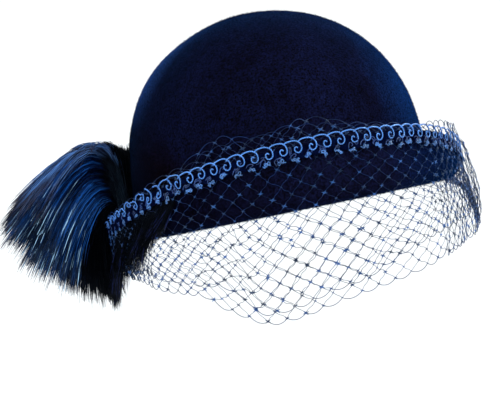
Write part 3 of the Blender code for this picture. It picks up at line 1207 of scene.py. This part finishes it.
    def layer(
        self, kind: NetLayer, columns: int, rows: int, hidden: tuple[int, int], seed: int
    ) -> tuple[Piece, Piece]:
        """One layer of net.

        Args:
            kind: which layer.
            columns: diamonds across.
            rows: diamonds down.
            hidden: the first and last half row that are left out, inside the brim.
            seed: seed of its small differences.

        Returns:
            Its threads, with both edges, and its knots.
        """
        draw = np.random.default_rng(seed)
        wide, high = 2 * columns, 2 * rows
        i, j = np.meshgrid(np.arange(wide + 1), np.arange(high + 1), indexing="ij")
        shake = draw.normal(size=(wide + 1, high + 1, 3)) * self.slack
        points, way = self.surface(i / wide, j / high, kind)
        points = points + shake
        real = ((i + j) % 2 == kind.parity) & ((j < hidden[0]) | (j > hidden[1]))
        starts = np.argwhere(real & (j < high) & (j != hidden[0] - 1))
        share = np.linspace(0, 1, 7)
        pieces = []
        for step in (-1, 1):
            kept = starts[(starts[:, 0] + step >= 0) & (starts[:, 0] + step <= wide)]
            column, row = kept.T
            across, down = (column[:, None] + step * share) / wide, (row[:, None] + share) / high
            path, out = self.surface(across, down, kind)
            path = shaken(path, shake[column, row], shake[column + step, row + 1], share)
            sag = np.sin(2 * math.pi * share) * draw.normal(1.0, 0.5, (len(kept), 1)) * self.bow
            path[..., 2] -= sag
            stray = np.sin(math.pi * share) * draw.normal(0, self.stray, (len(kept), 1))
            pieces.append(strands("threads", path + out * stray[..., None], self.thread_radius, out))
        pieces += [self.edge(kind, row, shake) for row in (high, 0)]
        threads = joined(f"{kind.value}_threads", pieces)
        return threads, self.knots(f"{kind.value}_knots", points[real], way[real], seed + 1)

    def edge(self, kind: NetLayer, row: int, shake: Array) -> Piece:
        """The thread of scallops along the hem, or along the heading's top.

        Args:
            kind: which layer.
            row: the half row of its knots, 0 for the heading's top.
            shake: how far each knot is out of place.

        Returns:
            The object.
        """
        wide, high = (size - 1 for size in shake.shape[:2])
        first = np.arange((row + kind.parity) % 2, wide - 1, 2)
        share = np.linspace(0, 1, 9)
        across = (first[:, None] + 2 * share) / wide
        path, out = self.surface(across, row / high + 0 * share[None, :], kind)
        path = shaken(path, shake[first, row], shake[first + 2, row], share)
        path[..., 2] -= np.sin(math.pi * share) ** 0.8 * self.scallop * (1 if row else -1)
        return strands("edge", path, self.hem_radius, out, 5)

    def build(self, thread: Finish, knot: Finish) -> None:
        """Makes the layers and dresses them.

        Args:
            thread: the finish of the threads.
            knot: the finish of the knots.
        """
        nowhere, inside_brim = (-1, -1), (3, 8)
        # Layer, diamonds across, diamonds down, hidden half rows, seed, nodes that it stands for.
        plans = (
            (NetLayer.OVER, self.columns, self.rows, nowhere, 21, ["veil"]),
            (NetLayer.UNDER, self.columns, self.rows, inside_brim, 31, []),
            (NetLayer.PUFF, self.puff_columns, self.puff_rows, nowhere, 51, []),
        )
        for *plan, nodes in plans:
            threads, knots = self.layer(*plan)
            dressed(threads, thread, "veil_net", *nodes)
            dressed(knots, knot, "veil_net")


@dataclass
class Plume:
    """The plume: clumps of glossy fibres that rise by the crown, arch over the brim and fan out."""

    angle: float = -93.0
    head_length: float = 0.034
    clear: float = 0.0150
    clumps: int = 216
    fibres: int = 14
    steps: int = 11
    root_radius: float = 0.00025
    gathered: float = 0.60
    # Share of fibres that carry a painted glint.
    painted_glinting: float = 0.13
    levels: tuple[float, ...] = (-1.0, -0.7, -0.35, 0.0, 0.25, 0.5, 0.75, 1.0, 1.3)
    tip_outs: tuple[float, ...] = (-0.5, 14.0, 46.0, 83.0, 78.0, 68.0, 52.0, 30.0, 20.0)
    tip_heights: tuple[float, ...] = (51.0, 53.0, 45.0, 16.0, 1.0, -13.0, -26.0, -35.0, -34.0)
    rise_outs: tuple[float, ...] = (1.0, 3.0, 2.0, 2.0, 3.0, 4.0, 6.0, 8.0, 7.0)
    rise_heights: tuple[float, ...] = (25.0, 48.0, 70.5, 75.5, 66.0, 52.0, 41.0, 36.0, 32.0)
    bend_outs: tuple[float, ...] = (0.0, 6.0, 22.0, 35.0, 38.0, 38.0, 35.0, 33.0, 33.0)
    bend_heights: tuple[float, ...] = (42.0, 58.0, 61.0, 58.0, 48.0, 36.0, 28.0, 22.0, 17.0)
    behinds: tuple[float, ...] = (-70.0, -70.0, -66.0, -62.0, -62.0, -62.0, -64.0, -70.0, -74.0)
    fronts: tuple[float, ...] = (60.0, 55.0, 36.0, 30.0, 28.0, 24.0, 20.0, 20.0, 24.0)
    fringe_angles: tuple[float, float] = (-106.0, -42.0)
    fringe_tips: Line = Line((-106, -92, -78, -66, -55, -42), (-34.0, -36.0, -33.0, -27.0, -18.0, -3.0))
    fringe_sweep: float = 9.0
    fringe_fibres: int = 12
    fringe_steps: int = 9
    sway: float = 0.0016
    stray: float = 0.0008
    level_spread: float = 0.035
    fan_spread: float = 2.4
    root_spread: float = 0.38
    clump_lengths: tuple[float, float] = (0.89, 1.0)
    fibre_lengths: tuple[float, float] = (0.91, 1.0)
    clump_tones: tuple[float, float] = (0.0, 0.32)
    fibre_tones: tuple[float, float] = (0.0, 0.56)
    painted_glint_tones: tuple[float, float] = (0.93, 0.99)
    painted_glint_thick: float = 1.5

    def read(self, values: tuple[float, ...], level: Array) -> Array:
        """Reads one of the rows of values, a column a fibre."""
        return Line(self.levels, values).at(level)[:, None]

    def curve(self, level: Array, fan: Array, length: Array, root: Array) -> Array:
        """Fibre paths.

        Args:
            level: from -1, short and upright by the crown, past 0, the longest, to 1, the lowest.
            fan: degrees from straight out, negative behind and positive in front.
            length: share of its full way that each fibre goes.
            root: where its root sits in the head, two shares from -1 to 1, across and along.

        Returns:
            Points, shape (fibres, steps, 3).
        """
        s = np.linspace(0, 1, self.steps)[None, :] * length[:, None]
        weights = ((1 - s) ** 3, 3 * s * (1 - s) ** 2, 3 * s**2 * (1 - s), s**3)
        middle = SHAPE.trough(self.angle) / MM
        start = middle + root[:, :1] * 4.4
        rows = (self.rise_outs, self.bend_outs, self.tip_outs)
        rise, bend, tip = (self.read(row, level) for row in rows)
        outs = (start, rise + root[:, :1] * 2.0, bend, tip)
        rows = (self.rise_heights, self.bend_heights, self.tip_heights)
        heights = (4.0, *(self.read(row, level) for row in rows))
        out = sum(w * o for w, o in zip(weights, outs)) * MM
        z = sum(w * h for w, h in zip(weights, heights)) * MM
        f = np.radians(fan)[:, None]
        reach = np.maximum(out - middle * MM, 0)
        turned = np.maximum(reach * np.cos(f), np.minimum(reach, self.clear))
        out = np.where(reach > 0, middle * MM + turned, out)
        along = np.sin(f) * reach + root[:, 1:] * self.head_length * 0.46 * (1 - 0.3 * s)
        return SHAPE.point(self.angle + np.degrees(along / SHAPE.half_depth), out, z)

    def part(
        self, name: str, low: float, high: float, clumps: int, seed: int, light: float
    ) -> Piece:
        """The fibres between two levels.

        Args:
            name: the object's name.
            low: the lowest level number.
            high: the highest level number.
            clumps: how many clumps.
            seed: seed of its differences.
            light: share of the finish's light tones that it has; a low share paints the piece in shade,
                and it also sets how many fibres carry a painted glint.

        Returns:
            The object.
        """
        draw = np.random.default_rng(seed)
        each = self.fibres
        total = clumps * each
        level = by_clump(draw, low, high, clumps, each) + draw.normal(0, self.level_spread, total)
        level = np.clip(level, self.levels[0], self.levels[-1])
        pick = by_clump(draw, 0, 1, clumps, each)
        behind, front = (Line(self.levels, values).at(level) for values in (self.behinds, self.fronts))
        fan = behind + (front - behind) * pick + draw.normal(0, self.fan_spread, total)
        length = by_clump(draw, *self.clump_lengths, clumps, each)
        length = length * draw.uniform(*self.fibre_lengths, total)
        lean = np.stack([0.2 - 0.9 * level, 1.6 * (pick * 2 - 1)], -1) * 0.45
        root = np.clip(lean + draw.normal(0, self.root_spread, (total, 2)), -1, 1)
        share = np.linspace(0, 1, self.steps)
        clumped = self.curve(level, fan, length, root).reshape(clumps, each, self.steps, 3)
        middle = clumped.mean(axis=1, keepdims=True)
        pull = (self.gathered * share**1.6)[None, None, :, None]
        clumped = clumped + (middle - clumped) * pull * draw.uniform(0.5, 1.0, (clumps, 1, 1, 1))
        sway = draw.normal(0, self.sway, (clumps, 1, 1, 3)) * share[None, None, :, None] ** 2
        paths = (clumped + sway).reshape(total, self.steps, 3)
        paths = paths + share[None, :, None] ** 2 * draw.normal(0, self.stray, (total, 1, 3))
        # A few fibres carry a painted glint and are drawn thicker.
        painted_glint_fibres = (draw.uniform(0, 1, total) < self.painted_glinting * (light - 0.3)) & (level > 0.02)
        thick = np.where(painted_glint_fibres, self.painted_glint_thick, 1.0)[:, None]
        taper = np.interp(share, (0, 0.6, 0.9, 1), (1, 0.9, 0.75, 0.30))[None, :]
        # Tones scaled down by a low light share are painted shade.
        tone = by_clump(draw, *self.clump_tones, clumps, each) + draw.uniform(*self.fibre_tones, total)
        tone = np.where(painted_glint_fibres, draw.uniform(*self.painted_glint_tones, total), tone * min(light, 1.0))
        facing = np.array([0.05, 0.02, 1.0])
        return strands(name, paths, self.root_radius * thick * taper, facing, 3, tone)

    def fringe(self, name: str, clumps: int, seed: int) -> Piece:
        """Dark fibres that hang from under the braid, down the brim's face and past its fold.

        Args:
            name: the object's name.
            clumps: how many clumps.
            seed: seed of its differences.

        Returns:
            The object.
        """
        draw = np.random.default_rng(seed)
        each = self.fringe_fibres
        total = clumps * each
        first, last = self.fringe_angles
        angle = by_clump(draw, first, last, clumps, each) + draw.normal(0, 0.8, total)
        angle = np.clip(angle, first, last)[:, None]
        share = np.linspace(0, 1, self.fringe_steps)[None, :]
        root = SHAPE.height(angle) - SHAPE.braid_height + 0.0026
        reach = by_clump(draw, 0.72, 1.06, clumps, each) * draw.uniform(0.75, 1.0, total)
        z = root + (self.fringe_tips.at(angle) * MM - root) * share * reach[:, None]
        sweep = self.fringe_sweep * share**1.3 * reach[:, None]
        sweep = sweep + np.repeat(draw.normal(0, 2.2, clumps), each)[:, None] * share**1.5
        turned = angle - sweep
        spread = by_clump(draw, 0, 1, clumps, each)[:, None] * 4.0 + draw.uniform(0, 1.2, angle.shape)
        away = 0.5 + 1.1 * np.sin(share * math.pi / 2) + spread * share**1.4
        paths = SHAPE.point(turned, SHAPE.face(turned, np.maximum(z, 0)) + away * MM, z)
        tone = np.where(draw.uniform(0, 1, total) < 0.07, 0.80, draw.uniform(0, 0.3, total))
        taper = np.interp(share, (0, 0.6, 1), (0.8, 0.7, 0.12))
        return strands(name, paths, self.root_radius * 0.8 * taper, SHAPE.outward(turned), 3, tone)

    def build(self, upper: Finish, lower: Finish, dark: Finish) -> None:
        """Makes the fibres in pieces and dresses them.

        Args:
            upper: the finish of the topmost fibres.
            lower: the finish of the long ones under them.
            dark: the finish of the lowest ones, the collar and the fringe: nearly black, painted shade.
        """
        # Name, lowest level, highest level, clumps, seed, share of light tones, finish, nodes.
        plans = (
            ("plume_over", -0.75, 0.10, self.clumps, 41, 1.0, upper, ["plume"]),
            ("plume_middle", 0.0, 0.45, self.clumps, 43, 0.9, lower, []),
            ("plume_under", 0.38, 0.83, self.clumps, 45, 1.4, lower, []),
            ("plume_shade", 0.81, 1.3, self.clumps, 47, 0.3, dark, []),
            ("plume_collar", -1.0, -0.65, self.clumps // 2, 49, 0.3, dark, []),
        )
        for *plan, finish, nodes in plans:
            dressed(self.part(*plan), finish, "plume_fibre", *nodes)
        dressed(self.fringe("plume_fringe", self.clumps, 51), dark, "plume_fibre")


@dataclass
class Studio:
    """Camera, soft light, and the pale floor that sweeps up into a wall."""

    azimuth: float = -10.06
    elevation: float = -1.32
    distance: float = 0.900
    roll: float = 11.48
    focal_px: float = 1590.7
    frame_px: tuple[int, int] = (500, 402)
    target: tuple[float, float, float] = (0.0, 0.0, 0.030)
    target_px: tuple[float, float] = (274.3, 159.1)
    floor: float = -0.30
    reach: float = 2.6
    bend: float = 1.0
    wall: float = 2.4
    sky: float = 0.80

    def camera(self) -> None:
        """Sets the camera where the photograph was taken from."""
        a, e, r = (math.radians(v) for v in (self.azimuth, self.elevation, self.roll))
        back = Vector((math.sin(a) * math.cos(e), -math.cos(a) * math.cos(e), math.sin(e)))
        right = Vector((math.cos(a), math.sin(a), 0))
        up = back.cross(right)
        level, upright = right * math.cos(r) - up * math.sin(r), right * math.sin(r) + up * math.cos(r)
        aside = (self.frame_px[0] / 2 - self.target_px[0]) / self.focal_px
        lift = (self.target_px[1] - self.frame_px[1] / 2) / self.focal_px
        back_aimed = (back - level * aside - upright * lift).normalized()
        level = (level - back_aimed * level.dot(back_aimed)).normalized()
        upright = back_aimed.cross(level)
        data = bpy.data.cameras.new("camera")
        data.sensor_width = 36.0
        data.lens = data.sensor_width * self.focal_px / self.frame_px[0]
        made = bpy.data.objects.new("camera", data)
        spot = Vector(self.target) + back * self.distance
        turned = Matrix((level, upright, back_aimed)).transposed().to_4x4()
        made.matrix_world = Matrix.Translation(spot) @ turned
        bpy.context.scene.collection.objects.link(made)
        bpy.context.scene.camera = made

    def light(self, name: str, spot: Colour, size: float, power: float, tint: Colour) -> None:
        """Adds a square soft light that looks at the hat.

        Args:
            name: the light's name.
            spot: where it stands.
            size: the length of its side.
            power: its power, in watts.
            tint: its colour.
        """
        data = bpy.data.lights.new(name, "AREA")
        data.size, data.energy, data.color = size, power, tint
        made = bpy.data.objects.new(name, data)
        made.location = spot
        made.rotation_euler = (Vector(self.target) - Vector(spot)).to_track_quat("-Z", "Y").to_euler()
        bpy.context.scene.collection.objects.link(made)

    def backdrop(self) -> None:
        """A round floor whose rim sweeps up into a wall on every side."""
        around = 96
        turn = np.linspace(0, FULL_TURN, around, endpoint=False)
        bends = np.radians(np.linspace(0, 90, 12))
        profile = [(0.02, 0.0), (1.0, 0.0)]
        flat = self.reach - self.bend
        profile += [(flat + self.bend * math.sin(b), self.bend * (1 - math.cos(b))) for b in bends]
        profile.append((self.reach, self.wall))
        level = np.stack([np.sin(turn), np.cos(turn), 0 * turn], -1)
        rings = np.stack([r * level + UPWARD * (h + self.floor) for r, h in profile])
        made = loft("backdrop", rings[::-1], LoftEnd.POLES)
        nothing_selected()
        bpy.context.view_layer.objects.active = made
        bpy.ops.object.mode_set(mode="EDIT")
        bpy.ops.mesh.select_all(action="DESELECT")
        shell = bmesh.from_edit_mesh(made.data)
        lid = max(shell.faces, key=lambda face: face.calc_center_median().z)
        lid.select = True
        bmesh.update_edit_mesh(made.data)
        bpy.ops.mesh.delete(type="ONLY_FACE")
        bpy.ops.mesh.select_all(action="SELECT")
        bpy.ops.mesh.flip_normals()
        bpy.ops.object.mode_set(mode="OBJECT")
        made.data.materials.append(PlainStage().material())

    def build(self) -> None:
        """Sets up the whole studio: camera, backdrop, soft light from all round, and four lights."""
        self.camera()
        self.backdrop()
        world = bpy.data.worlds.new("studio")
        bpy.context.scene.world = world
        world.use_nodes = True
        sky = world.node_tree.nodes["Background"].inputs
        sky["Color"].default_value = (*WHITE, 1)
        sky["Strength"].default_value = self.sky
        bpy.context.scene.view_settings.view_transform = "Standard"
        self.light("key", (1.1, -1.5, 1.2), 0.5, 22.0, WHITE)
        self.light("fill", (-1.5, -1.3, 0.7), 0.7, 10.0, (0.95, 0.98, 1.0))
        self.light("rim_right", (1.5, 0.5, 0.8), 0.5, 20.0, (0.80, 0.92, 1.0))
        self.light("rim_left", (-1.05, 0.40, 1.75), 0.4, 17.0, (0.80, 0.92, 1.0))


def main() -> None:
    """Builds the studio and every piece in order."""
    logging.basicConfig(level=logging.INFO, format="%(message)s")
    Studio().build()
    # The brim gets a weaker painted sheen, a dimmer painted high sheen band and a faint painted plume
    # shadow.
    brim_felt = VelourFelt(
        "brim_velour", painted_sheen=(0.0006, 0.0060, 0.0270), painted_high_sheen=(0.002, 0.003, 0.010),
        painted_plume_shadow=(1.0, 0.9, 0.9),
    )
    Crown().build(VelourFelt("crown_velour").material())
    Brim().build(brim_felt.material())
    cord = TwistedCord(
        "braid_rayon", (0.008, 0.036, 0.190), (0.100, 0.320, 0.940), worn=0.75, skin=(0.45, 0.80, 1.0)
    )
    knot = TwistedCord("braid_knot", (0.006, 0.030, 0.130), (0.070, 0.260, 0.760), worn=0.4)
    tie = TwistedCord("braid_tie", (0.004, 0.010, 0.060), (0.026, 0.075, 0.340), worn=0.4, gloss=0.6)
    ground = RibbedBand("braid_ground")
    Braid().build(*(finish.material() for finish in (cord, knot, tie, ground)))
    thread = TwistedCord(
        "veil_thread", (0.0016, 0.0048, 0.028), (0.008, 0.034, 0.160), twist=16.0, roughness=0.5,
        sheen_weight=0.02, gloss=0.20, worn=0.20, patch=70.0, skin=(0.30, 0.52, 1.0),
    )
    star = TwistedCord(
        "veil_knot", (0.006, 0.020, 0.090), (0.050, 0.190, 0.600), twist=30.0, roughness=0.35,
        sheen_weight=0.03, gloss=0.6, worn=0.12, patch=90.0, skin=(0.40, 0.65, 1.0),
    )
    Veil().build(thread.material(), star.material())
    upper = FeatherFibre(
        "plume_upper_fibre", dull=(0.0100, 0.0150, 0.0340), middle=(0.0320, 0.0620, 0.1700),
        bright=(0.1200, 0.3000, 0.7200), tip=(0.040, 0.026, 0.034),
    )
    # Painted shade: a nearly black copy of the fibre for the lowest fibres, the collar and the fringe.
    dark = FeatherFibre(
        "plume_painted_shade_fibre", dull=(0.0006, 0.0006, 0.0014), middle=(0.0012, 0.0014, 0.0050),
        bright=(0.0300, 0.0450, 0.2000), painted_glint=(0.060, 0.090, 0.300), tip=(0.0008, 0.0008, 0.0016),
        roughness=0.55, gloss=0.06,
    )
    lower = FeatherFibre("plume_lower_fibre")
    Plume().build(upper.material(), lower.material(), dark.material())
    nothing_selected()


if __name__ == "__main__":
    main()
